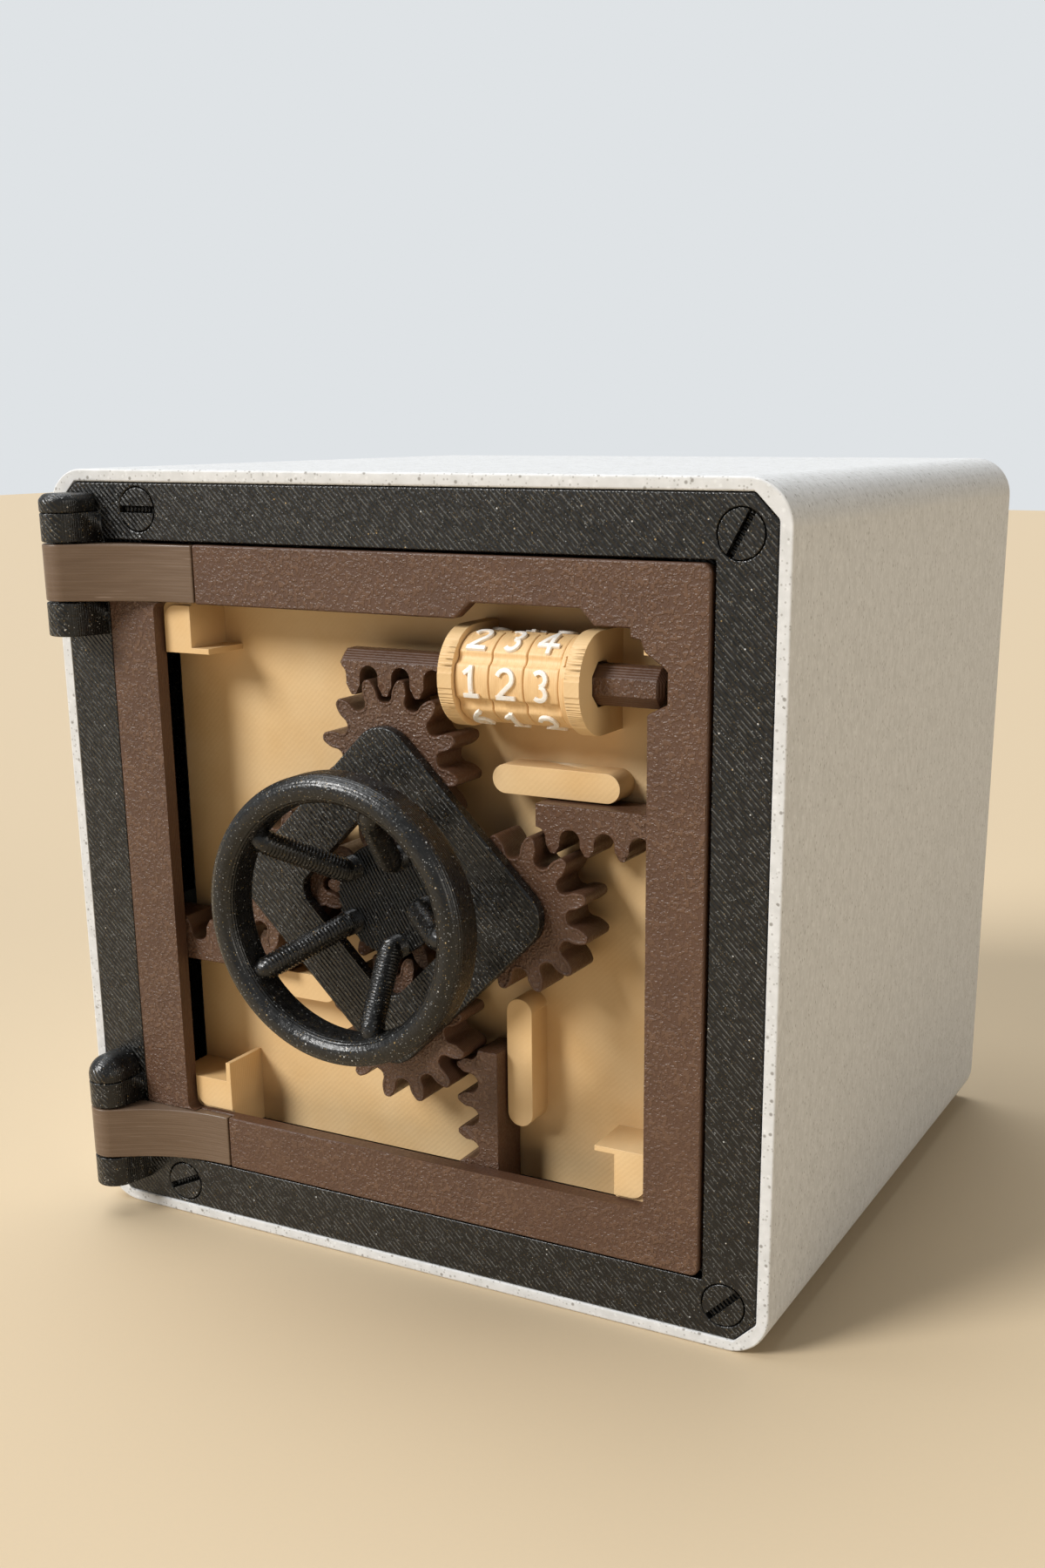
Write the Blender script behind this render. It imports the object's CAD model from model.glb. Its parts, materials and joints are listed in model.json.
"""Looks of a printed combination lock box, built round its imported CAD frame."""

import json
import math

import bmesh
import bpy
import numpy as np
from mathutils import Matrix, Vector


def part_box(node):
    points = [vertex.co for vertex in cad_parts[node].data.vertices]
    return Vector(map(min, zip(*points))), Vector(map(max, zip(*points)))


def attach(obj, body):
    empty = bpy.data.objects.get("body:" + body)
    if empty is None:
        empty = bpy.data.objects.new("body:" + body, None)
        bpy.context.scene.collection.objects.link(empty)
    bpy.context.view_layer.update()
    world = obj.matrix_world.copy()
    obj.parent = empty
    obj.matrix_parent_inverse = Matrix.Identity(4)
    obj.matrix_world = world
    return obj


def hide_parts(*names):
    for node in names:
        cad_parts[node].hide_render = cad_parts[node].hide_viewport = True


bl_info = {
    "name": "Printed combination lock box",
    "version": (1, 0, 0),
    "blender": (4, 5, 0),
    "location": "3D View > Sidebar > Lock Box",
    "description": "Dresses the frame of a printed lock box with its plastics and its stage",
    "category": "Object",
}

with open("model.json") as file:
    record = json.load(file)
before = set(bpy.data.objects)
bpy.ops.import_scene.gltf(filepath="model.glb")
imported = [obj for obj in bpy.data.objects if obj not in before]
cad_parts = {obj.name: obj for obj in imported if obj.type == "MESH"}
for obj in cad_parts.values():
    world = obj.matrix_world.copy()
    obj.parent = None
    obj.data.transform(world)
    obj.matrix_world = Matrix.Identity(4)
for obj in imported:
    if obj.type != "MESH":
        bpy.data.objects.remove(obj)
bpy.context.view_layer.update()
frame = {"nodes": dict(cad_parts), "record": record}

MM = 0.001
# Corners closer than this, in metres, are one corner
WELD = 1e-6
# Faces within this angle of each other, in degrees, count as one flat face
FLAT_ANGLE = 0.4
# Edges between smooth faces are drawn sharp above this angle, in degrees
SHARP_ANGLE = 50
# A cut serves a hole if it leaves this share of the hole's width on both sides
CUT_MARGIN = 0.2
# Shares of a hole's width at which a new cut is tried
CUT_SHARES = [0.3 + 0.04 * step for step in range(11)]
# Parts of the full rounding that are tried in turn, until no outline crosses itself
ROUNDING_SHARES = (1.0, 0.75, 0.5, 0.3)
# An edge is rounded in full on faces this many widths across, and by a share on narrower
# ones, down to the least share
FULL_ROOM = 2.3
LEAST_SHARE = 0.15
# Edges shorter than this many widths stay sharp within the reach of a crossing, in widths
CROSSING_LENGTH = 8
CROSSING_REACH = 3
# Parts of the full groove along a front's outline that are tried in turn
TRACE_SHARES = (1.0, 0.8, 0.6, 0.4)
CASE_LOW, CASE_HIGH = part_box("case_shell")
FRONT = CASE_LOW.y
MIDDLE = (CASE_LOW.z + CASE_HIGH.z) / 2
BODY_OF = {n: b for b, ns in frame["record"]["behaviour"]["bodies"].items() for n in ns}
# Turns local coordinates, whose Z points to the front, into the place before the door
TO_FRONT = Matrix.Translation((0, FRONT, MIDDLE)) @ Matrix.Rotation(math.pi / 2, 4, "X")
# Frame screws: millimetres right of and above the middle, and the slot's angle in degrees
SCREW_PLACES = ((68.55, -68.55, 45), (68.55, 68.55, 62), (-55.55, -70.05, 25),
                (-55.55, 70.05, 0))
# Discs of the dial brackets: left and right side of each in millimetres, their middle above
# the case's middle and their front before the frame
DISC_SIDES = ((13.975, 16.875), (39.025, 41.925))
DISC_UP = 42.425 * MM
DISC_APEX = 4.9 * MM
# Steps cut into the front of a disc, and the cutter's room round it
DISC_STEPS = 16
CUTTER_ROOM = 0.6 * MM
# The hub's disc starts this far inside the shaft
HUB_SINK = 0.2 * MM
PLASTIC_IOR = 1.46
# Build direction of the flat prints, and the two slants of their print lines
BUILD_Y = (0, 1, 0)
BACKSLASH = (math.sqrt(0.5), 0, math.sqrt(0.5))
SLASH = (math.sqrt(0.5), 0, -math.sqrt(0.5))
# Two print lines of 0.42 mm show as one ridge
PRINT_LINES = 0.84 * MM
# Print lines of this depth would be worn fully pale on their crests
WORN_DEPTH = 0.14 * MM
# Lamps: name, side that the light comes from, width in degrees and tint
LAMPS = (("key", (-0.76, -1.0, 0.84), 22, (1.0, 0.99, 0.97)),
         ("top", (-0.35, 0.15, 1.0), 50, (0.96, 0.98, 1.0)),
         ("fill", (2.4, -0.6, 0.77), 28, (1.0, 0.92, 0.8)))
SKY_TINT = (0.92, 0.96, 1.0)
# Distance from the middle of the floor to its sides, in metres
FLOOR_REACH = 3.0
# Camera as the photograph gives it: view, right-hand side, place and shift
CAMERA_FORWARD = (-0.4441, 0.8509, -0.2806)
CAMERA_RIGHT = (0.8871, 0.4616, -0.0042)
CAMERA_PLACE = (0.1720, FRONT - 0.2587, 0.1632)
CAMERA_SHIFT = (-0.0283, 0.0867)


def linear(hex_colour):
    """Linear red, green and blue of an sRGB hex colour such as '#5E463B'."""
    values = [int(hex_colour[i:i + 2], 16) / 255 for i in (1, 3, 5)]
    return tuple(v / 12.92 if v <= 0.04045 else ((v + 0.055) / 1.055) ** 2.4 for v in values)


def colour_prop(name, description, hex_colour):
    return bpy.props.FloatVectorProperty(
        name=name, description=description, subtype="COLOR", size=3, min=0, max=1,
        default=linear(hex_colour))


def length_prop(name, description, millimetres):
    return bpy.props.FloatProperty(
        name=name, description=description, unit="LENGTH", min=0, precision=5,
        default=millimetres * MM)


def angle_prop(name, description, degrees):
    return bpy.props.FloatProperty(
        name=name, description=description, subtype="ANGLE", default=math.radians(degrees))


def count_prop(name, description, count):
    return bpy.props.IntProperty(name=name, description=description, min=1, default=count)


def level_prop(name, description, level):
    return bpy.props.FloatProperty(name=name, description=description, min=0, default=level)


class LockBoxColours(bpy.types.PropertyGroup):
    """Colours of the plastics and of the stage."""

    marble: colour_prop("Marble", "White plastic of the case", "#DEDFE0")
    marble_shade: colour_prop("Marble shade", "Duller patches of the case", "#CFD0D0")
    marble_speck: colour_prop("Marble specks", "Large dark specks of the case", "#77726A")
    fine_speck: colour_prop("Fine specks", "Fine dark specks of the case", "#7E7A73")
    pale_speck: colour_prop("Pale specks", "Pale specks of the case", "#F1F3F4")
    black: colour_prop("Black", "Plastic of the frame and handwheel", "#0C0C0B")
    black_shade: colour_prop("Black shade", "Paler patches of the black", "#141312")
    worn: colour_prop("Worn crests", "Worn crests of the black print lines", "#70716F")
    flake: colour_prop("Flakes", "Fine flakes in the black plastic", "#E4E7E8")
    gold_flake: colour_prop("Gold flakes", "Warmer flakes among them", "#B89A62")
    brown: colour_prop("Brown", "Plastic of the ring, gears and bolts", "#593F2F")
    brown_high: colour_prop("Brown grain", "Paler tops of the brown grain", "#8A6C56")
    brown_shade: colour_prop("Brown shade", "Darker patches of the brown", "#452F25")
    strap_brown: colour_prop("Strap brown", "Paler brown of the hinge straps", "#675342")
    strap_streak: colour_prop("Strap streaks", "Pale streaks of the straps", "#84705F")
    scratch: colour_prop("Scratches", "Fine scratches on the straps", "#A99587")
    tan: colour_prop("Tan", "Tan plastic of the back plate", "#E6C696")
    tan_shade: colour_prop("Tan shade", "Darker patches of the plate", "#DEB984")
    dial_tan: colour_prop("Dial tan", "Tan plastic of the dials", "#EDC893")
    dial_shade: colour_prop("Dial shade", "Darker patches of the dials", "#E4BC86")
    digit: colour_prop("Digits", "White paint on the raised digits", "#F5F1EA")
    floor: colour_prop("Floor", "Plain pale floor", "#CFBB9C")
    floor_shade: colour_prop("Floor shade", "Faint grain of the floor", "#BBAE9B")
    backdrop: colour_prop("Backdrop", "Pale backdrop behind the box", "#DFE3E6")


class LockBoxSizes(bpy.types.PropertyGroup):
    """Sizes of edges and detail. Those named for the wheel or the screw feed its tree.

    The wheel's real layers are about 0.2 mm and its hub's lines 0.42 mm, too fine to show,
    so both are drawn coarser.
    """

    case_edge: length_prop("Case edge", "Rounding of the case's edges", 0.45)
    frame_edge: length_prop("Frame edge", "Rounding of the frame, ring and bridge", 0.4)
    gear_edge: length_prop("Gear edge", "Rounding of the gears and bolts", 0.28)
    plate_edge: length_prop("Plate edge", "Rounding of the back plate's forms", 0.22)
    dial_edge: length_prop("Dial edge", "Rounding of the dials", 0.3)
    digit_edge: length_prop("Digit edge", "Rounding of the raised digits", 0.14)
    wheel_layer: length_prop("Layer", "Spacing of the printed ridges", 0.5)
    wheel_rim_ridge: length_prop("Rim ridge", "Depth of the ridges on the rim", 0.08)
    wheel_spoke_ridge: length_prop("Spoke ridge", "Depth of the ridges on the spokes", 0.22)
    wheel_rim_radius: length_prop("Rim radius", "Radius to the middle of the rim", 24.4)
    wheel_rim_width: length_prop("Rim width", "Width along the radius", 5.2)
    wheel_rim_depth: length_prop("Rim depth", "Depth from front to back", 8.8)
    wheel_rim_front: length_prop("Rim front", "Rim's front before the frame", 21.5)
    wheel_spokes: count_prop("Spokes", "Number of spokes", 5)
    wheel_first: angle_prop("First spoke", "Angle of the first spoke", 70)
    wheel_spoke_radius: length_prop("Spoke radius", "Radius of the spokes", 2.35)
    wheel_foot: length_prop("Spoke foot", "Spokes' feet from the axis", 9)
    wheel_bend: length_prop("Spoke bend", "First bend before the frame", 5.1)
    wheel_end: length_prop("Spoke end", "Second bend inside the rim's middle", 4)
    wheel_drop: length_prop("Spoke drop", "Second bend behind the rim's front", 4.6)
    wheel_hub_radius: length_prop("Hub radius", "Radius of the hub", 10.8)
    wheel_hub_front: length_prop("Hub front", "Hub's front before the frame", 2.2)
    wheel_hub_line: length_prop("Hub line", "Spacing of the lines on the hub", 0.72)
    wheel_slant: angle_prop("Line angle", "Slant of the lines on the hub", 31)
    wheel_shaft_width: length_prop("Shaft width", "Width of the square shaft", 7)
    wheel_shaft_length: length_prop("Shaft length", "Length of the square shaft", 9.2)
    wheel_journal: length_prop("Journal radius", "Radius of the journal", 3.3)
    wheel_journal_end: length_prop("Journal end", "Journal's end behind the frame", 14.7)
    screw_head: length_prop("Head radius", "Radius of the frame screws' heads", 4.1)
    screw_height: length_prop("Head height", "Height of the heads", 3)
    screw_slot: length_prop("Slot width", "Width of the slots in the heads", 1.3)
    screw_slot_depth: length_prop("Slot depth", "Depth of the slots", 1.5)
    screw_ribs: count_prop("Ribs", "Number of rough ribs in a slot", 8)
    screw_rib_spacing: length_prop("Rib spacing", "Spacing of the ribs", 0.9)
    screw_rib_radius: length_prop("Rib radius", "Radius of the ribs", 0.28)
    screw_shaft: length_prop("Shaft radius", "Radius of the screws' shafts", 2)
    screw_length: length_prop("Length", "Length of the shafts", 28)
    trace_inset: length_prop("Trace inset", "Groove's distance from the edge", 0.3)
    trace_width: length_prop("Trace width", "Width of the groove", 0.24)
    trace_depth: length_prop("Trace depth", "Depth of the groove", 0.1)
    disc_layer: length_prop("Disc layer", "Step of the dial brackets' layers", 0.2)
    disc_radius: length_prop("Disc radius", "Radius of the dial brackets' discs", 9.1)


class LockBoxStage(bpy.types.PropertyGroup):
    """Camera, and the strengths of the lamps."""

    lens: level_prop("Lens", "Focal length on a 36 mm high frame", 39.08)
    key: level_prop("Key lamp", "Lamp at the front left", 3.1)
    top: level_prop("Top lamp", "Wide lamp overhead", 2.1)
    fill: level_prop("Fill lamp", "Lamp at the far right", 0.62)
    sky: level_prop("Sky", "Even light from all round", 0.09)
    mirror: level_prop("Mirrored backdrop", "Backdrop in reflections", 0.6)


def colours():
    return bpy.context.scene.lock_box_colours


def sizes():
    return bpy.context.scene.lock_box_sizes


def sizes_of(part):
    """Sizes whose names start with a part's name, by the labels of the tree's inputs."""
    return {prop.name: getattr(sizes(), key)
            for key, prop in sizes().bl_rna.properties.items() if key.startswith(part)}


# Node helpers


def feed(tree, socket, value):
    """Links an input to a value that is a socket, or sets the input to the value."""
    if isinstance(value, bpy.types.NodeSocket):
        tree.links.new(value, socket)
    else:
        socket.default_value = (*value, 1) if socket.type == "RGBA" else value


def put(tree, kind, inputs=None, **settings):
    """Adds a node, sets its properties and feeds its inputs."""
    node = tree.nodes.new(kind)
    for name, value in settings.items():
        setattr(node, name, value)
    for key, value in (inputs or {}).items():
        feed(tree, node.inputs[key], value)
    return node


def maths(tree, operation, a, b=0.0, c=0.0):
    return put(tree, "ShaderNodeMath", {0: a, 1: b, 2: c}, operation=operation).outputs[0]


def times(tree, a, b):
    return maths(tree, "MULTIPLY", a, b)


def minus(tree, a, b):
    return maths(tree, "SUBTRACT", a, b)


def wave(tree, phase):
    """A sine wave from 0 to 1."""
    return maths(tree, "MULTIPLY_ADD", maths(tree, "SINE", phase), 0.5, 0.5)


def mix_colour(tree, factor, a, b):
    return put(tree, "ShaderNodeMix", {0: factor, 6: a, 7: b}, data_type="RGBA").outputs[2]


def spread(tree, value, low, high, to_low=0.0, to_high=1.0):
    """Maps low..high to a new range, clamped."""
    return put(tree, "ShaderNodeMapRange",
               {0: value, 1: low, 2: high, 3: to_low, 4: to_high}).outputs[0]


def dot(tree, a, b):
    return put(tree, "ShaderNodeVectorMath", {0: a, 1: b},
               operation="DOT_PRODUCT").outputs["Value"]


def place(tree, stretch=(1, 1, 1)):
    """Place of a point in its piece, each axis times its stretch."""
    spot = put(tree, "ShaderNodeTexCoord").outputs["Object"]
    return put(tree, "ShaderNodeVectorMath", {0: spot, 1: stretch},
               operation="MULTIPLY").outputs[0]


def flat_faces(tree):
    """1 where the surface faces along the build direction or against it, else 0."""
    normal = put(tree, "ShaderNodeTexCoord").outputs["Normal"]
    return spread(tree, maths(tree, "ABSOLUTE", dot(tree, normal, BUILD_Y)), 0.75, 0.9)


def noise(tree, size, detail=2.0, stretch=(1, 1, 1)):
    """Noise from 0 to 1 whose features are about size wide, in metres."""
    return put(tree, "ShaderNodeTexNoise", {
        "Vector": place(tree, stretch), "Scale": 1 / size, "Detail": detail}).outputs["Fac"]


def patches(tree, size, low=0.0, high=1.0, **shape):
    """Soft patches of noise, about size wide, that run from low to high."""
    return spread(tree, noise(tree, size, **shape), 0.3, 0.7, low, high)


def lines(tree, direction, spacing, wander=0.25):
    """Rounded ridges across a direction, from 0 to 1, that wander a little."""
    shift = times(tree, noise(tree, 12 * MM, 1.0), wander * 2 * math.pi)
    return wave(tree, maths(tree, "MULTIPLY_ADD", dot(tree, place(tree), direction),
                            2 * math.pi / spacing, shift))


def side_layers(tree, flat, spacing, wander):
    """Layers across the build direction, on the faces that aren't flat ones."""
    return times(tree, lines(tree, BUILD_Y, spacing, wander), minus(tree, 1.0, flat))


def specks(tree, cell, share, radius, fade=1.2, stretch=(1, 1, 1)):
    """Dots in the given share of the cells, 1 inside, with two random values for each."""
    cells = put(tree, "ShaderNodeTexVoronoi", {
        "Vector": place(tree, stretch), "Scale": 1 / cell}).outputs
    chance, light, tint = put(tree, "ShaderNodeSeparateColor", {0: cells["Color"]}).outputs
    chosen = maths(tree, "LESS_THAN", chance, share)
    inside = spread(tree, cells["Distance"], radius * fade, radius * 0.6)
    return times(tree, chosen, inside), light, tint


def finish(tree, shader, colour, roughness, bumps, specular=0.5):
    """Feeds a shader. Bumps are (height 0..1, depth in metres) pairs, which add up."""
    total = 0.0
    for height, depth in bumps:
        total = maths(tree, "MULTIPLY_ADD", height, depth / MM, total)
    bump = put(tree, "ShaderNodeBump", {"Strength": 1.0, "Distance": MM, "Height": total})
    for name, value in (("Base Color", colour), ("Roughness", roughness),
                        ("Normal", bump.outputs[0]), ("Specular IOR Level", specular),
                        ("IOR", PLASTIC_IOR)):
        feed(tree, shader.inputs[name], value)


# Materials: each maker fills in the one with its name. Real layers are about 0.2 mm, too
# fine to show, so all of them are drawn coarser


def material_of(maker):
    """The material that a maker function fills in, built once."""
    name = maker.__name__
    if name not in bpy.data.materials:
        bpy.data.materials.new(name).use_nodes = True
        tree = bpy.data.materials[name].node_tree
        maker(tree, tree.nodes["Principled BSDF"], colours())
    return bpy.data.materials[name]


def marble_pla(tree, shader, c):
    """Case: PLA with mineral specks, printed in layers from its back to its front.

    A matte, nearly white surface, with grey specks drawn out along the layers.
    """
    base = mix_colour(tree, patches(tree, 2.4 * MM, detail=3.0, stretch=(1, 1.8, 1)),
                      c.marble_shade, c.marble)
    for colour, strength, cell, share, radius, squeeze in (
            (c.fine_speck, 0.5, 0.7, 0.42, 0.30, 2.2),
            (c.marble_speck, 0.75, 1.05, 0.13, 0.34, 2.2),
            (c.pale_speck, 0.4, 0.9, 0.2, 0.4, 1.8)):
        mask, _, _ = specks(tree, cell * MM, share, radius, stretch=(1, squeeze, 1))
        base = mix_colour(tree, times(tree, mask, strength), base, colour)
    finish(tree, shader, base, 0.62, [
        (lines(tree, BUILD_Y, 0.6 * MM), 0.010 * MM), (noise(tree, 0.7 * MM), 0.03 * MM)])


def flakes(tree, cell, share, radius):
    """Specks whose brightness differs, with a random tint for each."""
    mask, light, tint = specks(tree, cell, share, radius, fade=1.25)
    return times(tree, mask, spread(tree, light, 0, 1, 0.12, 1.0)), tint


def black_flake_surface(tree, shader, c, raster_depth, layer_depth):
    """PLA filled with fine metallic flakes: deep black with tiny silver and gold points.

    The real flakes are under 0.1 mm, so they are drawn at 0.2 to 0.35 mm.
    """
    fine, tint = flakes(tree, 0.36 * MM, 0.30, 0.30)
    large, _ = flakes(tree, 0.85 * MM, 0.11, 0.19)
    mask = maths(tree, "MAXIMUM", times(tree, fine, 0.5), large)
    flat = flat_faces(tree)
    ridge = lines(tree, BACKSLASH, PRINT_LINES, 0.1)
    tone = mix_colour(tree, patches(tree, 5 * MM), c.black, c.black_shade)
    wear = times(tree, spread(tree, noise(tree, 1.3 * MM), 0.44, 0.62),
                 raster_depth / WORN_DEPTH)
    crest = times(tree, spread(tree, ridge, 0.7, 1.0), flat)
    tone = mix_colour(tree, times(tree, crest, wear), tone, c.worn)
    metal = mix_colour(tree, maths(tree, "GREATER_THAN", tint, 0.55), c.flake, c.gold_flake)
    feed(tree, shader.inputs["Metallic"], times(tree, mask, 0.4))
    colour = mix_colour(tree, mask, tone, metal)
    finish(tree, shader, colour, patches(tree, 1.2 * MM, 0.21, 0.37), [
        (times(tree, ridge, flat), raster_depth),
        (side_layers(tree, flat, 0.4 * MM, 0.1), layer_depth), (mask, 0.02 * MM),
        (noise(tree, 0.55 * MM, 1.0), 0.07 * MM)])


def black_pla_frame(tree, shader, c):
    """Frame, pins, bridge and screws: slanted print lines with worn, paler crests."""
    black_flake_surface(tree, shader, c, 0.08 * MM, 0.04 * MM)


def black_pla_wheel(tree, shader, c):
    """The handwheel has its layers in its shape, so only fine grain is added."""
    black_flake_surface(tree, shader, c, 0.01 * MM, 0.0)


def grained_brown(tree, shader, c, grain_depth, roughness):
    """PLA that took the grain of a textured print bed: fine bumps with paler tops."""
    flat = flat_faces(tree)
    grain = spread(tree, noise(tree, 0.6 * MM, 1.0), 0.44, 0.60)
    patch = spread(tree, noise(tree, 22 * MM, 1.0), 0.35, 0.65, 0.6, 1.0)
    tops = times(tree, times(tree, grain, flat), patch)
    colour = mix_colour(tree, times(tree, tops, 0.3), c.brown, c.brown_high)
    colour = mix_colour(tree, patches(tree, 9 * MM, 0.0, 0.35), colour, c.brown_shade)
    roughness = spread(tree, grain, 0.0, 1.0, roughness + 0.1, roughness - 0.06)
    finish(tree, shader, colour, roughness, [
        (tops, grain_depth), (side_layers(tree, flat, 0.4 * MM, 0.05), 0.03 * MM),
        (times(tree, lines(tree, BACKSLASH, PRINT_LINES), flat), 0.008 * MM)])


def brown_pla_ring(tree, shader, c):
    """Ring of the door: satin grain."""
    grained_brown(tree, shader, c, 0.13 * MM, 0.38)


def brown_pla_gear(tree, shader, c):
    """Gears and bolts: the same grain, a little deeper and glossier."""
    grained_brown(tree, shader, c, 0.15 * MM, 0.34)


def brown_pla_strap(tree, shader, c):
    """Hinge straps, printed upright: thin level layers and a few pale scratches."""
    streak = spread(tree, noise(tree, 0.5 * MM, 2.0, (0.04, 0.04, 1)), 0.35, 0.7)
    colour = mix_colour(tree, times(tree, streak, 0.3), c.strap_brown, c.strap_streak)
    scratch = spread(tree, noise(tree, 1.6 * MM, 1.0, (0.12, 0.12, 4)), 0.74, 0.78)
    colour = mix_colour(tree, times(tree, scratch, 0.4), colour, c.scratch)
    finish(tree, shader, colour, spread(tree, streak, 0, 1, 0.3, 0.4), [
        (lines(tree, (0, 0, 1), 0.5 * MM, 0.05), 0.015 * MM), (streak, 0.015 * MM)])


def tan_pla_plate(tree, shader, c):
    """Back plate: smooth satin plastic with faint slanted print lines."""
    flat = flat_faces(tree)
    colour = mix_colour(tree, patches(tree, 14 * MM), c.tan, c.tan_shade)
    finish(tree, shader, colour, patches(tree, 3 * MM, 0.46, 0.56), [
        (times(tree, lines(tree, SLASH, PRINT_LINES), flat), 0.010 * MM),
        (side_layers(tree, flat, 0.5 * MM, 0.1), 0.02 * MM),
        (noise(tree, 1.5 * MM), 0.03 * MM)])


def tan_pla_dial(tree, shader, c):
    """Dials, printed on end: soft vertical layers round the drum."""
    patch = patches(tree, 3 * MM, stretch=(3, 1, 1))
    finish(tree, shader, mix_colour(tree, patch, c.dial_tan, c.dial_shade), 0.46, [
        (lines(tree, (1, 0, 0), 0.45 * MM, 0.15), 0.02 * MM),
        (noise(tree, 1.6 * MM, 2.0, (2, 1, 1)), 0.08 * MM)])


def white_digit_paint(tree, shader, c):
    """White paint wiped on the raised digits: tan shows faintly through its thin spots."""
    thin = spread(tree, noise(tree, 0.9 * MM), 0.55, 0.7)
    colour = mix_colour(tree, times(tree, thin, 0.35), c.digit, c.dial_tan)
    finish(tree, shader, colour, 0.5, [(noise(tree, 0.8 * MM), 0.08 * MM)])


def floor_paint(tree, shader, c):
    """Matte paint of the floor, with a faint grain."""
    grain = patches(tree, 0.9 * MM, 0.0, 0.06)
    finish(tree, shader, mix_colour(tree, grain, c.floor, c.floor_shade), 0.6, [], 0.3)


# Mesh helpers


def link(mesh, name):
    piece = bpy.data.objects.new(name, mesh)
    bpy.context.scene.collection.objects.link(piece)
    return piece


def baked(piece):
    """Replaces a piece's mesh with its evaluated one and drops the modifiers."""
    bpy.context.view_layer.update()
    evaluated = piece.evaluated_get(bpy.context.evaluated_depsgraph_get())
    mesh = bpy.data.meshes.new_from_object(evaluated)
    old = piece.data
    piece.modifiers.clear()
    piece.data = mesh
    bpy.data.meshes.remove(old)
    return piece


def flat_groups(bm):
    """Groups of joined faces that lie in one plane."""
    limit = math.radians(FLAT_ANGLE)
    seen, groups = set(), []
    for start in bm.faces:
        if start in seen:
            continue
        seen.add(start)
        group, queue = [start], [start]
        while queue:
            for edge in queue.pop().edges:
                for face in edge.link_faces:
                    if face not in seen and face.normal.angle(start.normal, math.pi) < limit:
                        seen.add(face)
                        group.append(face)
                        queue.append(face)
        groups.append(group)
    return groups


def outline_loops(group):
    """Corners of each closed outline of a group of faces."""
    inside = set(group)
    rim = {edge for face in group for edge in face.edges
           if sum(other in inside for other in edge.link_faces) == 1}
    loops = []
    while rim:
        queue, loop = [rim.pop()], set()
        while queue:
            edge = queue.pop()
            for corner in edge.verts:
                loop.add(corner)
                for other in corner.link_edges:
                    if other in rim:
                        rim.remove(other)
                        queue.append(other)
        loops.append(loop)
    return loops


def hole_cuts(bm):
    """Planes, as axis and place, so that each hole in a flat face is cut by one of them."""
    holes = []
    for group in flat_groups(bm):
        loops = outline_loops(group) if len(group) > 2 else []
        if len(loops) > 1:
            normal = group[0].normal
            axis = 2 if abs(normal.x) > max(abs(normal.y), abs(normal.z)) else 0
            spans = [sorted(corner.co[axis] for corner in loop) for loop in loops]
            spans = sorted((span[-1] - span[0], span[0], span[-1]) for span in spans)
            holes += [(axis, low, high) for _, low, high in spans[:-1]]
    cuts = []
    for axis, low, high in sorted(holes, key=lambda hole: hole[2] - hole[1]):
        margin = (high - low) * CUT_MARGIN
        if any(a == axis and low + margin < cut < high - margin for a, cut in cuts):
            continue
        tries = [low + (high - low) * share for share in CUT_SHARES]
        corners = [vert.co[axis] for vert in bm.verts if low < vert.co[axis] < high]
        cuts.append((axis, max(tries, key=lambda cut: min(
            [abs(cut - corner) for corner in corners] or [0]))))
    return cuts


def clean_copy(node):
    """A CAD node's mesh with each flat face in a few large pieces, none with a hole."""
    mesh = frame["nodes"][node].data.copy()
    mesh.materials.clear()
    bm = bmesh.new()
    bm.from_mesh(mesh)
    bmesh.ops.remove_doubles(bm, verts=bm.verts, dist=WELD)
    for axis, spot in hole_cuts(bm):
        plane = [0.0, 0.0, 0.0]
        plane[axis] = 1.0
        cut = bmesh.ops.bisect_plane(
            bm, geom=bm.verts[:] + bm.edges[:] + bm.faces[:], dist=WELD / 10,
            plane_co=[spot * value for value in plane], plane_no=plane)
        for part in cut["geom_cut"]:
            if isinstance(part, bmesh.types.BMEdge):
                part.seam = True
    bmesh.ops.dissolve_limit(bm, angle_limit=math.radians(FLAT_ANGLE), verts=bm.verts,
                             edges=bm.edges, delimit={"SEAM"})
    for face in bm.faces:
        face.smooth = True
    bm.to_mesh(mesh)
    bm.free()
    return mesh


def flat_corners(face):
    """Corners of a face in two dimensions, as its normal's largest part leaves them."""
    axis = max(range(3), key=lambda i: abs(face.normal[i]))
    corners = np.array([vert.co for vert in face.verts])
    plane = np.roll(corners, -axis - 1, axis=1)[:, :2]
    return plane if face.normal[axis] > 0 else plane[:, ::-1]


def cross(a, b):
    return a[..., 0] * b[..., 1] - a[..., 1] * b[..., 0]


def edge_room(bm, sharp):
    """Free distance across the faces beside each sharp edge, to the next sharp edge."""
    room = {edge: math.inf for edge in sharp}
    for face in bm.faces:
        edges = [loop.edge for loop in face.loops]
        rows = [i for i, edge in enumerate(edges) if edge in room]
        if len(edges) < 4 or len(rows) < 2:
            continue
        start = flat_corners(face)
        run = np.roll(start, -1, axis=0) - start
        inward = np.stack([-run[:, 1], run[:, 0]], axis=1)
        inward /= np.linalg.norm(inward, axis=1)[:, None] + 1e-12
        across = cross(inward[:, None], run[None])
        across[np.abs(across) < 1e-12] = np.inf
        # Looks across from near both ends of each edge and from its middle
        for part in (0.05, 0.5, 0.95):
            to_start = start[None] - (start + run * part)[:, None]
            reach = cross(to_start, run[None]) / across
            share = cross(to_start, inward[:, None]) / across
            met = (share > -0.01) & (share < 1.01) & (reach > WELD)
            for i in rows:
                for j in rows:
                    if i != j and met[i, j]:
                        for edge in (edges[i], edges[j]):
                            room[edge] = min(room[edge], reach[i, j])
    return room


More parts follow.
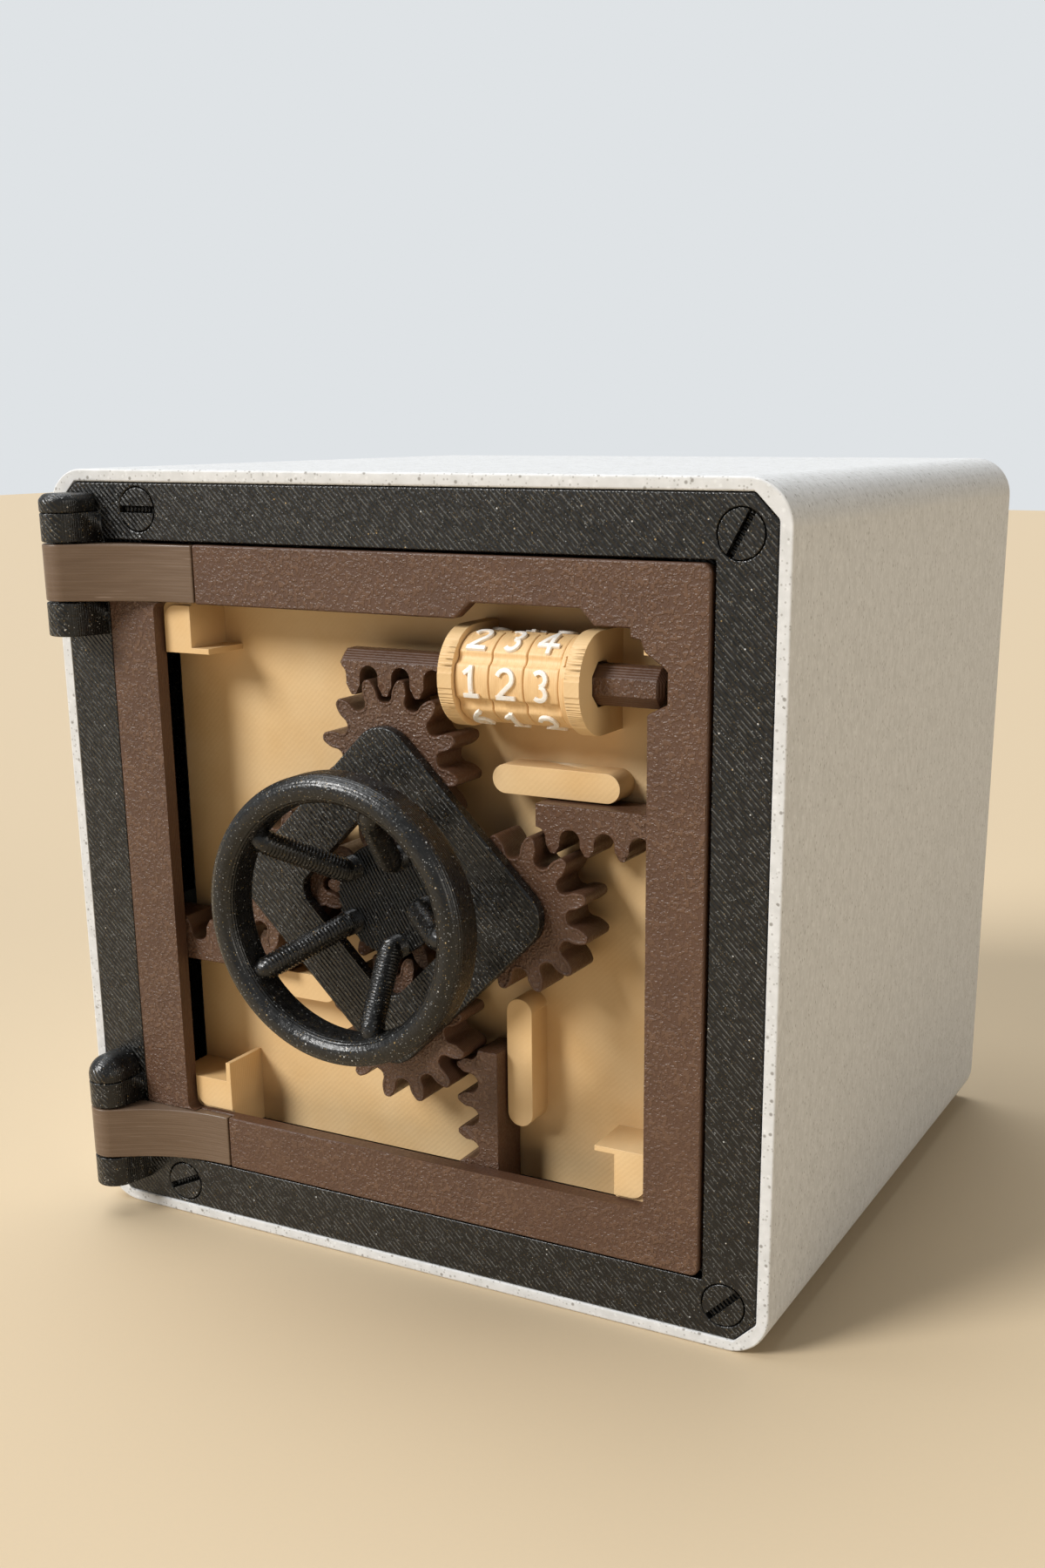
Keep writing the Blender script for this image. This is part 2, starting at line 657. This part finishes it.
def outline_crossings(mesh):
    """Corners at which the outline of a face with many corners crosses itself."""
    bm = bmesh.new()
    bm.from_mesh(mesh)
    spots = []
    for face in bm.faces:
        if len(face.verts) < 5:
            continue
        start = flat_corners(face)
        end = np.roll(start, -1, axis=0)
        a, b, c, d = start[:, None], end[:, None], start[None], end[None]
        hit = ((cross(b - a, c - a) * cross(b - a, d - a) < 0)
               & (cross(d - c, a - c) * cross(d - c, b - c) < 0))
        for i in set(np.nonzero(hit)[0]):
            spots += [face.verts[i].co.copy(), face.verts[(i + 1) % len(start)].co.copy()]
    bm.free()
    return spots


def bevel_weights(mesh, width, angle, crossings):
    """Stores each edge's share of the rounding: all of it where its faces have room."""
    bm = bmesh.new()
    bm.from_mesh(mesh)
    layer = bm.edges.layers.float.new("bevel_weight_edge")
    sharp = {edge for edge in bm.edges if edge.calc_face_angle(0) > math.radians(angle)}
    for edge, distance in edge_room(bm, sharp).items():
        share = min(1.0, distance / (FULL_ROOM * width))
        middle = (edge.verts[0].co + edge.verts[1].co) / 2
        near = edge.calc_length() < CROSSING_LENGTH * width and any(
            (middle - spot).length < CROSSING_REACH * width for spot in crossings)
        edge[layer] = 0.0 if near or share < LEAST_SHARE else share
    bm.to_mesh(mesh)
    bm.free()


def bevelled(mesh, name, width, angle, crossings):
    piece = link(mesh.copy(), name)
    bevel_weights(piece.data, width, angle, crossings)
    bevel = piece.modifiers.new("edge", "BEVEL")
    bevel.width = width
    bevel.segments = 2
    bevel.limit_method = "WEIGHT"
    bevel.use_clamp_overlap = False
    bevel.loop_slide = False
    return baked(piece)


def shaded(piece):
    """Keeps large faces flat-looking and shades the rounded edges between them smooth."""
    piece.data.set_sharp_from_angle(angle=math.radians(SHARP_ANGLE))
    normals = piece.modifiers.new("normals", "WEIGHTED_NORMAL")
    normals.weight = 100
    normals.keep_sharp = True
    return baked(piece)


def rounded(mesh, name, width, angle=35):
    """Rounds a mesh's sharp edges, less or not where an outline would cross itself."""
    for share in ROUNDING_SHARES:
        piece = bevelled(mesh, name, width * share, angle, [])
        crossings = outline_crossings(piece.data)
        if crossings:
            bpy.data.objects.remove(piece)
            piece = bevelled(mesh, name, width * share, angle, crossings)
            if outline_crossings(piece.data) and share != ROUNDING_SHARES[-1]:
                bpy.data.objects.remove(piece)
                continue
        break
    return shaded(piece)


def grooved(mesh, inset, width, depth):
    """A copy of a mesh with a groove that follows the outline of its front."""
    mesh = mesh.copy()
    bm = bmesh.new()
    bm.from_mesh(mesh)
    front = min(vert.co.y for vert in bm.verts)
    faces = [face for face in bm.faces
             if face.normal.y < -0.999 and face.calc_center_median().y < front + depth]
    for thickness, step in ((inset, 0), (width / 2, -depth), (width / 2, depth)):
        bmesh.ops.inset_region(bm, faces=faces, thickness=thickness, depth=step,
                               use_boundary=True, use_even_offset=True)
    bm.to_mesh(mesh)
    bm.free()
    return mesh


def traced(piece):
    """Sinks the fine groove that a nozzle leaves along a front's outline, where it fits."""
    s = sizes()
    for share in TRACE_SHARES:
        mesh = grooved(piece.data, s.trace_inset * share, s.trace_width * share,
                       s.trace_depth)
        if not outline_crossings(mesh):
            piece.data = mesh
            return shaded(piece)
    return piece


def stands_for(piece, node):
    """Lets a piece ride with the body of a CAD node and take the node's place."""
    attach(piece, BODY_OF[node])
    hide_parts(node)


def softened(node, width, maker, angle=35):
    """A copy of a CAD node with clean faces and rounded edges, in its material."""
    mesh = clean_copy(node)
    mesh.materials.append(material_of(maker))
    piece = rounded(mesh, node + "_printed", width, angle)
    stands_for(piece, node)
    return piece


# Geometry Nodes


def geo(tree, kind, inputs=None, **settings):
    """First output of a new geometry node."""
    return put(tree, "GeometryNode" + kind, inputs, **settings).outputs[0]


def joined(tree, parts):
    node = put(tree, "GeometryNodeJoinGeometry")
    for part in parts:
        tree.links.new(part, node.inputs[0])
    return node.outputs[0]


def geometry_tree(name, values, parts_of):
    """A tree with an input for each value, which makes its parts real and paints them."""
    tree = bpy.data.node_groups.new(name, "GeometryNodeTree")
    for in_out in ("OUTPUT", "INPUT"):
        tree.interface.new_socket("Geometry", in_out=in_out, socket_type="NodeSocketGeometry")
    for label, value in values.items():
        kind = {float: "Float", int: "Int"}.get(type(value), "Material")
        tree.interface.new_socket(label, in_out="INPUT", socket_type="NodeSocket" + kind)
    given = put(tree, "NodeGroupInput").outputs
    real = geo(tree, "RealizeInstances", {0: joined(tree, parts_of(tree, given))})
    painted = geo(tree, "SetMaterial", {"Geometry": real, "Material": given["Material"]})
    put(tree, "NodeGroupOutput", {0: painted})
    return tree


def grown(name, parts_of, part, maker, points):
    """Runs a part's geometry tree on a mesh, with its inputs set, and keeps a plain mesh."""
    values = {**sizes_of(part), "Material": material_of(maker)}
    tree = geometry_tree(name, values, parts_of)
    piece = link(points, name)
    rule = piece.modifiers.new("rule", "NODES")
    rule.node_group = tree
    for socket in tree.interface.items_tree:
        if socket.in_out == "INPUT" and socket.name in values:
            rule[socket.identifier] = values[socket.name]
    baked(piece)
    piece.data.transform(TO_FRONT)
    return piece


def vector(tree, x=0.0, y=0.0, z=0.0):
    return put(tree, "ShaderNodeCombineXYZ", {0: x, 1: y, 2: z}).outputs[0]


def upward(tree, source):
    """Z of a vector."""
    return put(tree, "ShaderNodeSeparateXYZ", {0: source}).outputs[2]


def moved(tree, geometry, shift=(0, 0, 0), turn=(0, 0, 0)):
    return geo(tree, "Transform", {
        "Geometry": geometry, "Translation": shift, "Rotation": turn})


def turned_copies(tree, points, instance, angle):
    """A copy of an instance on each point, turned by its angle about Z."""
    turn = put(tree, "FunctionNodeEulerToRotation", {0: vector(tree, z=angle)}).outputs[0]
    return geo(tree, "InstanceOnPoints", {
        "Points": points, "Instance": instance, "Rotation": turn})


def cylinder(tree, sides, radius, low, high):
    """A cylinder along Z from low to high."""
    mesh = geo(tree, "MeshCylinder", {
        "Vertices": sides, "Radius": radius, "Depth": minus(tree, high, low)})
    middle = times(tree, maths(tree, "ADD", low, high), 0.5)
    return moved(tree, mesh, vector(tree, z=middle))


def level_rod(tree, radius, length):
    """A thin rod along Y."""
    rod = geo(tree, "MeshCylinder", {"Vertices": 12, "Radius": radius, "Depth": length})
    return moved(tree, rod, turn=(math.pi / 2, 0, 0))


def layered(tree, mesh, layer, depth):
    """Sinks rings of printed layers into walls that stand up, and fades them on level faces."""
    height = upward(tree, geo(tree, "InputPosition"))
    phase = maths(tree, "DIVIDE", times(tree, height, 2 * math.pi), layer)
    normal = geo(tree, "InputNormal")
    level = maths(tree, "ABSOLUTE", upward(tree, normal))
    sink = times(tree, times(tree, wave(tree, phase), depth),
                 spread(tree, level, 0.8, 0.98, -1.0, 0.0))
    offset = put(tree, "ShaderNodeVectorMath", {0: normal, "Scale": sink},
                 operation="SCALE").outputs[0]
    return geo(tree, "SetPosition", {0: mesh, "Offset": offset})


def wheel_rim(tree, given):
    """Rim: an upright section with round ends, swept round a circle."""
    ring = geo(tree, "CurvePrimitiveCircle", {
        "Resolution": 168, "Radius": given["Rim radius"]})
    section = geo(tree, "CurvePrimitiveQuadrilateral", {
        "Width": given["Rim width"], "Height": given["Rim depth"]})
    section = geo(tree, "FilletCurve", {
        "Curve": section, "Count": 16, "Radius": times(tree, given["Rim width"], 0.49),
        "Limit Radius": True}, mode="POLY")
    section = geo(tree, "ResampleCurve", {"Curve": section, "Count": 200}, mode="COUNT")
    middle = maths(tree, "MULTIPLY_ADD", given["Rim depth"], -0.5, given["Rim front"])
    swept = moved(tree, geo(tree, "CurveToMesh", {0: ring, 1: section}),
                  vector(tree, z=middle))
    return layered(tree, swept, given["Layer"], given["Rim ridge"])


def wheel_spokes(tree, given):
    """Spokes, each bent up from the hub and bent again into the rim."""
    top = minus(tree, given["Rim front"], given["Spoke drop"])
    index = geo(tree, "InputIndex")
    corners = ((given["Spoke foot"], times(tree, given["Hub front"], 0.25)),
               (given["Spoke foot"], given["Spoke bend"]),
               (minus(tree, given["Rim radius"], given["Spoke end"]), top),
               (given["Rim radius"], top))
    bends = put(tree, "GeometryNodeIndexSwitch", data_type="VECTOR")
    while len(bends.index_switch_items) < len(corners):
        bends.index_switch_items.new()
    for socket, value in zip(bends.inputs, (
            index, *(vector(tree, out, 0.0, front) for out, front in corners))):
        tree.links.new(value, socket)
    path = geo(tree, "ResampleCurve", {
        "Curve": geo(tree, "CurvePrimitiveLine"), "Count": len(corners)}, mode="COUNT")
    path = geo(tree, "SetPosition", {0: path, "Position": bends.outputs[0]})
    path = geo(tree, "FilletCurve", {
        "Curve": path, "Count": 6, "Radius": given["Spoke radius"], "Limit Radius": True},
        mode="POLY")
    path = geo(tree, "ResampleCurve", {
        "Curve": path, "Length": maths(tree, "DIVIDE", given["Layer"], 6.0)}, mode="LENGTH")
    section = geo(tree, "CurvePrimitiveCircle", {
        "Resolution": 24, "Radius": given["Spoke radius"]})
    spoke = geo(tree, "CurveToMesh", {0: path, 1: section, "Fill Caps": True})
    spoke = layered(tree, spoke, given["Layer"], given["Spoke ridge"])
    step = maths(tree, "DIVIDE", 2 * math.pi, given["Spokes"])
    return turned_copies(tree, geo(tree, "Points", {"Count": given["Spokes"]}), spoke,
                         maths(tree, "MULTIPLY_ADD", index, step, given["First spoke"]))


def wheel_hub(tree, given):
    """Hub: a disc whose top is laid from slanted round lines of plastic."""
    half = times(tree, given["Hub line"], 0.5)
    top = minus(tree, given["Hub front"], half)
    disc = cylinder(tree, 96, given["Hub radius"], -HUB_SINK, top)
    width = times(tree, given["Hub radius"], 2.0)
    count = maths(tree, "FLOOR", maths(tree, "DIVIDE", width, given["Hub line"]))
    first = times(tree, minus(tree, count, 1.0), -0.5)
    side = times(tree, maths(tree, "ADD", geo(tree, "InputIndex"), first),
                 given["Hub line"])
    chord = maths(tree, "SQRT", minus(tree, maths(tree, "POWER", given["Hub radius"], 2.0),
                                      maths(tree, "POWER", side, 2.0)))
    points = geo(tree, "SetPosition", {
        0: geo(tree, "Points", {"Count": count}), "Position": vector(tree, side, 0.0, top)})
    rods = geo(tree, "InstanceOnPoints", {
        "Points": points, "Instance": level_rod(tree, half, 1.0),
        "Scale": vector(tree, 1.0, times(tree, chord, 1.96), 1.0)})
    return disc, moved(tree, rods, turn=vector(tree, z=given["Line angle"]))


def wheel_parts(tree, given):
    """Handwheel: rim, spokes, hub, square shaft and a journal that starts just inside it."""
    width, length = given["Shaft width"], given["Shaft length"]
    shaft = geo(tree, "MeshCube", {"Size": vector(tree, width, width, length)})
    shaft = moved(tree, shaft, vector(tree, z=times(tree, length, -0.5)))
    journal = cylinder(tree, 48, given["Journal radius"],
                       times(tree, given["Journal end"], -1.0), times(tree, length, -0.98))
    return (wheel_rim(tree, given), wheel_spokes(tree, given), *wheel_hub(tree, given),
            shaft, journal)


def screw_parts(tree, given):
    """Frame screws: on each point, a head with ribs in its slot and a shaft under the slot."""
    head = cylinder(tree, 48, given["Head radius"],
                    times(tree, given["Head height"], -1.0), 0.0)
    slot = geo(tree, "MeshCube", {"Size": vector(
        tree, times(tree, given["Head radius"], 3.0), given["Slot width"],
        times(tree, given["Slot depth"], 2.0))})
    cut = geo(tree, "MeshBoolean", {0: head, 1: slot}, operation="DIFFERENCE")
    shaft = cylinder(tree, 32, given["Shaft radius"], times(tree, given["Length"], -1.0), 0.0)
    shaft = moved(tree, shaft, vector(tree, z=times(tree, given["Slot depth"], -1.2)))
    rib = level_rod(tree, given["Rib radius"], given["Slot width"])
    middle = maths(tree, "MULTIPLY_ADD", given["Ribs"], 0.5, -0.5)
    row = times(tree, minus(tree, geo(tree, "InputIndex"), middle), given["Rib spacing"])
    floor = minus(tree, times(tree, given["Rib radius"], 0.6), given["Slot depth"])
    spots = geo(tree, "SetPosition", {
        0: geo(tree, "Points", {"Count": given["Ribs"]}),
        "Position": vector(tree, row, 0.0, floor)})
    ribs = geo(tree, "InstanceOnPoints", {"Points": spots, "Instance": rib})
    turn = geo(tree, "InputNamedAttribute", {"Name": "turn"}, data_type="FLOAT")
    return (turned_copies(tree, given["Geometry"], joined(tree, (cut, shaft, ribs)), turn),)


def layer_cutter(sides):
    """Solid that cuts the rounded front of a bracket disc into the steps of its layers."""
    radius, layer = sizes().disc_radius, sizes().disc_layer
    depths = [layer * (step + 0.5) for step in range(DISC_STEPS)]
    steps = []
    for near, far in zip(depths, depths[1:]):
        half = math.sqrt(2 * radius * near - near * near)
        steps += [(half, near), (half, far)]
    outer = steps[-1][0] + CUTTER_ROOM
    outline = [(-half, depth) for half, depth in reversed(steps)] + steps
    outline += [(outer, steps[-1][1]), (outer, -CUTTER_ROOM), (-outer, -CUTTER_ROOM),
                (-outer, steps[-1][1])]
    bm = bmesh.new()
    ends = []
    for x in (sides[0] * MM - CUTTER_ROOM, sides[1] * MM + CUTTER_ROOM):
        ends.append([bm.verts.new((x, FRONT - DISC_APEX + depth, MIDDLE + DISC_UP + up))
                     for up, depth in outline])
    bm.faces.new(ends[0])
    bm.faces.new(ends[1][::-1])
    for i in range(len(outline)):
        j = (i + 1) % len(outline)
        bm.faces.new((ends[0][i], ends[1][i], ends[1][j], ends[0][j]))
    bmesh.ops.recalc_face_normals(bm, faces=bm.faces)
    mesh = bpy.data.meshes.new("layer_cutter")
    bm.to_mesh(mesh)
    bm.free()
    return link(mesh, "layer_cutter")


def stepped(piece):
    """Cuts the layer steps into the bracket's two discs."""
    for sides in DISC_SIDES:
        cutter = layer_cutter(sides)
        cut = piece.modifiers.new("steps", "BOOLEAN")
        cut.operation = "DIFFERENCE"
        cut.solver = "EXACT"
        cut.object = cutter
        baked(piece)
        bpy.data.objects.remove(cutter)
    return shaded(piece)


def box_operator(cls):
    """Marks an operator class with the options that they all share."""
    cls.bl_options = {"REGISTER", "UNDO"}
    return cls


@box_operator
class LOCKBOX_OT_case(bpy.types.Operator):
    """Case shell and front frame with rounded edges"""

    bl_idname = "lockbox.case"
    bl_label = "Case"

    def execute(self, context):
        softened("case_shell", sizes().case_edge, marble_pla)
        softened("front_frame", sizes().frame_edge, black_pla_frame)
        return {"FINISHED"}


@box_operator
class LOCKBOX_OT_hinges(bpy.types.Operator):
    """Hinge pins and straps"""

    bl_idname = "lockbox.hinges"
    bl_label = "Hinges"

    def execute(self, context):
        for node in ("upper_hinge_pin", "lower_hinge_pin"):
            softened(node, sizes().frame_edge, black_pla_frame)
        for node in ("upper_hinge_strap", "lower_hinge_strap"):
            softened(node, sizes().gear_edge, brown_pla_strap)
        return {"FINISHED"}


@box_operator
class LOCKBOX_OT_door(bpy.types.Operator):
    """Door ring, back plate and bridge"""

    bl_idname = "lockbox.door"
    bl_label = "Door"

    def execute(self, context):
        softened("door_ring", sizes().frame_edge, brown_pla_ring)
        stepped(softened("door_back_plate", sizes().plate_edge, tan_pla_plate))
        softened("gear_bridge", sizes().frame_edge, black_pla_frame)
        return {"FINISHED"}


@box_operator
class LOCKBOX_OT_gears(bpy.types.Operator):
    """Drive gear, outer gears and bolts"""

    bl_idname = "lockbox.gears"
    bl_label = "Gears and bolts"

    def execute(self, context):
        for node in ("drive_gear", "top_gear", "right_gear", "bottom_gear", "left_gear",
                     "top_bolt", "right_bolt", "bottom_bolt", "left_bolt"):
            traced(softened(node, sizes().gear_edge, brown_pla_gear))
        return {"FINISHED"}


@box_operator
class LOCKBOX_OT_dials(bpy.types.Operator):
    """Dials with raised digits, and their spacer"""

    bl_idname = "lockbox.dials"
    bl_label = "Dials"

    def execute(self, context):
        for number in (1, 2, 3):
            softened(f"dial_{number}", sizes().dial_edge, tan_pla_dial)
            softened(f"dial_{number}_digits", sizes().digit_edge, white_digit_paint, 50)
        softened("dial_spacer", sizes().dial_edge, tan_pla_dial)
        return {"FINISHED"}


@box_operator
class LOCKBOX_OT_small(bpy.types.Operator):
    """Screws and handwheel"""

    bl_idname = "lockbox.small"
    bl_label = "Screws and handwheel"

    def execute(self, context):
        self.add_screws()
        self.add_handwheel()
        return {"FINISHED"}

    def add_screws(self):
        points = bpy.data.meshes.new("screw_places")
        points.from_pydata([(x * MM, up * MM, 0) for x, up, _ in SCREW_PLACES], [], [])
        turns = points.attributes.new("turn", "FLOAT", "POINT")
        turns.data.foreach_set("value", [math.radians(turn) for *_, turn in SCREW_PLACES])
        raw = grown("frame_screws_raw", screw_parts, "screw", black_pla_frame, points)
        piece = rounded(raw.data, "frame_screws_printed", sizes().gear_edge, 60)
        bpy.data.objects.remove(raw)
        stands_for(piece, "frame_screws")

    def add_handwheel(self):
        piece = grown("handwheel_printed", wheel_parts, "wheel", black_pla_wheel,
                      bpy.data.meshes.new("handwheel"))
        piece.data.shade_smooth()
        piece.data.set_sharp_from_angle(angle=math.radians(SHARP_ANGLE))
        stands_for(piece, "handwheel")


@box_operator
class LOCKBOX_OT_stage(bpy.types.Operator):
    """Pale floor, soft lamps and the camera"""

    bl_idname = "lockbox.stage"
    bl_label = "Stage"

    def execute(self, context):
        scene = context.scene
        scene.view_settings.view_transform = "Standard"
        self.add_floor()
        self.add_lamps(scene)
        self.add_world(scene)
        self.add_camera(scene)
        return {"FINISHED"}

    def add_floor(self):
        mesh = bpy.data.meshes.new("floor")
        corners = [(x * FLOOR_REACH, y * FLOOR_REACH, 0)
                   for x, y in ((-1, -1), (1, -1), (1, 1), (-1, 1))]
        mesh.from_pydata(corners, [], [(0, 1, 2, 3)])
        mesh.materials.append(material_of(floor_paint))
        link(mesh, "floor")

    def add_lamps(self, scene):
        """Wide, far lamps, which light the floor evenly up to the horizon."""
        for name, side, width, tint in LAMPS:
            lamp = bpy.data.lights.new(name + "_lamp", "SUN")
            lamp.angle = math.radians(width)
            lamp.energy = getattr(scene.lock_box_stage, name)
            lamp.color = tint
            holder = bpy.data.objects.new(lamp.name, lamp)
            scene.collection.objects.link(holder)
            holder.rotation_euler = (-Vector(side)).to_track_quat("-Z", "Y").to_euler()

    def add_world(self, scene):
        """Even light from all round, and the backdrop for the camera and for reflections."""
        scene.world = bpy.data.worlds.new("studio")
        scene.world.use_nodes = True
        tree = scene.world.node_tree
        rays = put(tree, "ShaderNodeLightPath").outputs
        camera, glossy = rays["Is Camera Ray"], rays["Is Glossy Ray"]
        mirrored = times(tree, glossy, scene.lock_box_stage.mirror)
        seen = maths(tree, "MAXIMUM", camera, glossy)
        background = tree.nodes["Background"].inputs
        feed(tree, background["Color"],
             mix_colour(tree, seen, SKY_TINT, colours().backdrop))
        feed(tree, background["Strength"], maths(
            tree, "MAXIMUM", maths(tree, "MAXIMUM", mirrored, camera),
            scene.lock_box_stage.sky))

    def add_camera(self, scene):
        lens = bpy.data.cameras.new("camera")
        scene.camera = bpy.data.objects.new("camera", lens)
        scene.collection.objects.link(scene.camera)
        forward = Vector(CAMERA_FORWARD).normalized()
        right = Vector(CAMERA_RIGHT)
        right = (right - forward * right.dot(forward)).normalized()
        turn = Matrix((right, right.cross(forward), -forward)).transposed().to_4x4()
        scene.camera.matrix_world = Matrix.Translation(CAMERA_PLACE) @ turn
        lens.sensor_fit = "VERTICAL"
        lens.sensor_height = 36
        lens.lens = scene.lock_box_stage.lens
        lens.shift_x, lens.shift_y = CAMERA_SHIFT
        lens.clip_start = 0.01


OPERATORS = (LOCKBOX_OT_stage, LOCKBOX_OT_case, LOCKBOX_OT_hinges, LOCKBOX_OT_door,
             LOCKBOX_OT_gears, LOCKBOX_OT_dials, LOCKBOX_OT_small)


class LOCKBOX_PT_panel(bpy.types.Panel):
    """Buttons that build the lock box's looks"""

    bl_idname = "LOCKBOX_PT_panel"
    bl_label = "Lock Box"
    bl_space_type = "VIEW_3D"
    bl_region_type = "UI"
    bl_category = "Lock Box"

    def draw(self, context):
        for operator in OPERATORS:
            self.layout.operator(operator.bl_idname)
        for group in GROUPS:
            settings = getattr(context.scene, group)
            for name in settings.bl_rna.properties.keys():
                if name not in ("rna_type", "name"):
                    self.layout.prop(settings, name)


GROUPS = {"lock_box_colours": LockBoxColours, "lock_box_sizes": LockBoxSizes,
          "lock_box_stage": LockBoxStage}
CLASSES = (*GROUPS.values(), *OPERATORS, LOCKBOX_PT_panel)


def register():
    for cls in CLASSES:
        bpy.utils.register_class(cls)
    for name, cls in GROUPS.items():
        setattr(bpy.types.Scene, name, bpy.props.PointerProperty(type=cls))


def unregister():
    for name in GROUPS:
        delattr(bpy.types.Scene, name)
    for cls in reversed(CLASSES):
        bpy.utils.unregister_class(cls)


def main():
    register()
    for operator in OPERATORS:
        group, name = operator.bl_idname.split(".")
        getattr(getattr(bpy.ops, group), name)()


if __name__ == "__main__":
    main()
